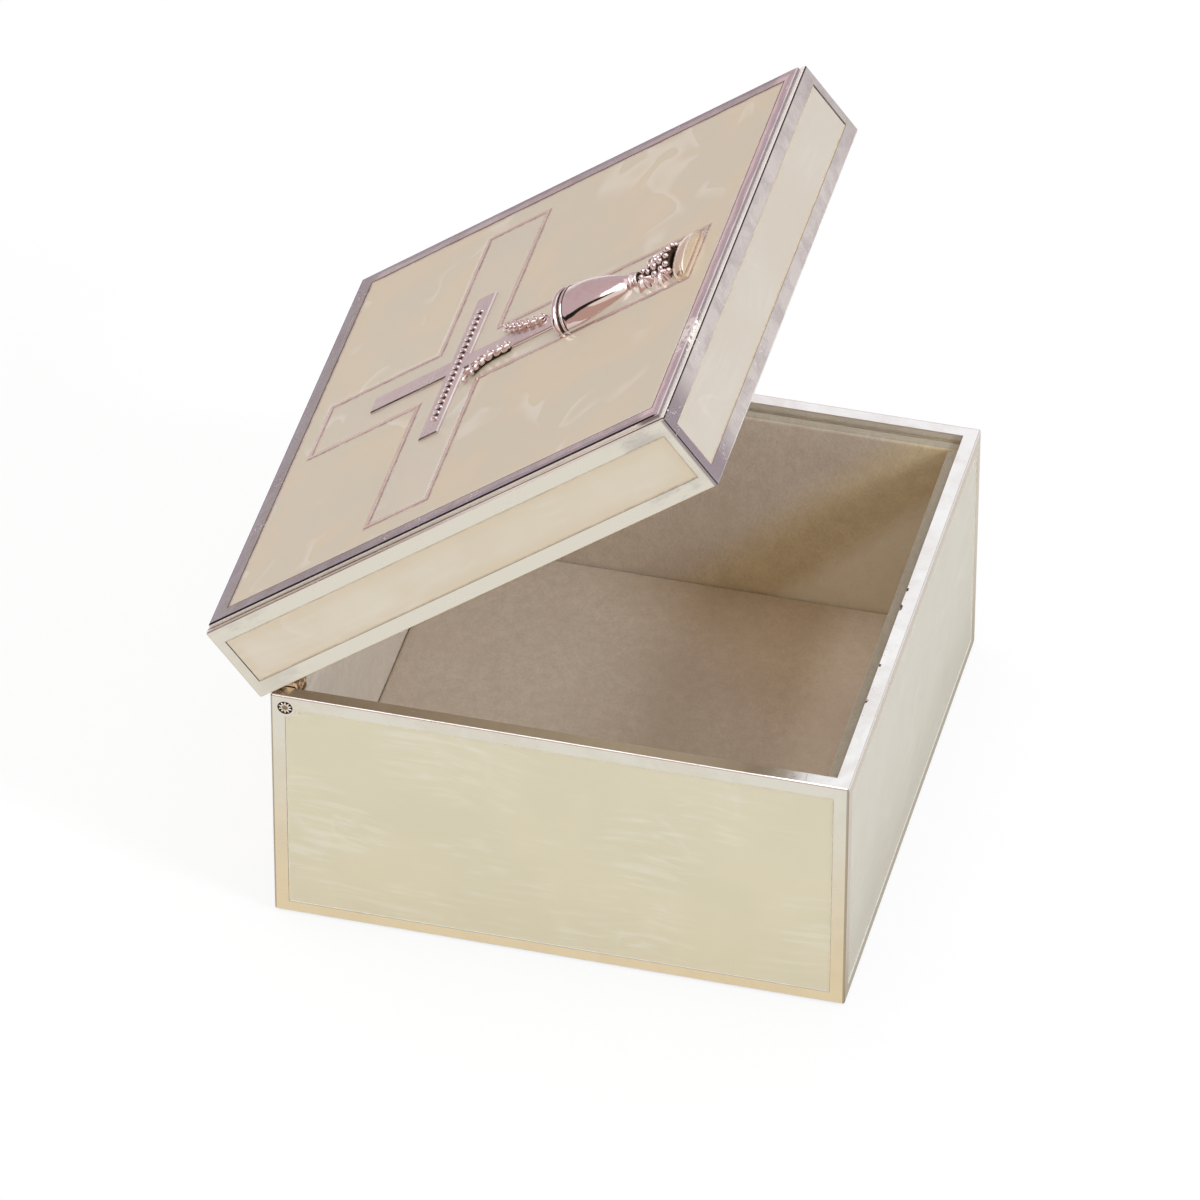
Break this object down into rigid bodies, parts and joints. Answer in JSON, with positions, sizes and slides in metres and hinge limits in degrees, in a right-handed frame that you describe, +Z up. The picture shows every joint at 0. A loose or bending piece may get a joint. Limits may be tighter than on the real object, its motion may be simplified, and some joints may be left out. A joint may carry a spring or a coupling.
{
  "type": "keepsake box",
  "caption": "Square lidded box in plated cast metal with enamel panels, a cross and chalice in relief on the hinged lid, and a felt-lined inside.",
  "frame": {"origin": "centre of the underside, on the surface that the box stands on", "axes": "+X right, -Y front, +Y hinge side, +Z up"},
  "size_m": [0.1, 0.1109, 0.1203],
  "materials": {
    "plated_metal": "silver-plated cast zinc alloy, lightly worn",
    "enamel": "pearly cream enamel, glossy",
    "felt": "felt-covered board, matt",
    "pin_steel": "bare steel, knurled head"
  },
  "bodies": {
    "base": {"base_shell": "plated_metal", "base_enamel_left": "enamel", "base_enamel_right": "enamel", "base_enamel_front": "enamel", "base_enamel_back": "enamel", "lining_left": "felt", "lining_right": "felt", "lining_front": "felt", "lining_back": "felt", "lining_floor": "felt", "base_bottom_felt": "felt", "hinge_pin_left": "pin_steel", "hinge_pin_right": "pin_steel"},
    "lid": {"lid_frame": "plated_metal", "lid_top_plate": "plated_metal", "lid_enamel_left": "enamel", "lid_enamel_right": "enamel", "lid_enamel_front": "enamel", "lid_enamel_back": "enamel", "lid_enamel_field": "enamel", "lid_enamel_cross": "enamel", "cross": "plated_metal", "crossbar_moulding": "plated_metal", "chalice_cup": "plated_metal", "chalice_stem": "plated_metal", "chalice_cluster": "plated_metal", "chalice_foot": "plated_metal", "wheat_ear_left": "plated_metal", "wheat_ear_right": "plated_metal", "hinge_lug_left": "plated_metal", "hinge_lug_right": "plated_metal", "lid_lining_top": "felt", "lid_lining_left": "felt", "lid_lining_right": "felt", "lid_lining_front": "felt", "lid_lining_back": "felt"}
  },
  "joints": [
    {"name": "lid_hinge", "type": "hinge", "parent": "base", "child": "lid", "pos_m": [0, 0.0474, 0.0455], "axis": [1, 0, 0], "range_deg": [0, 38.5]}
  ]
}
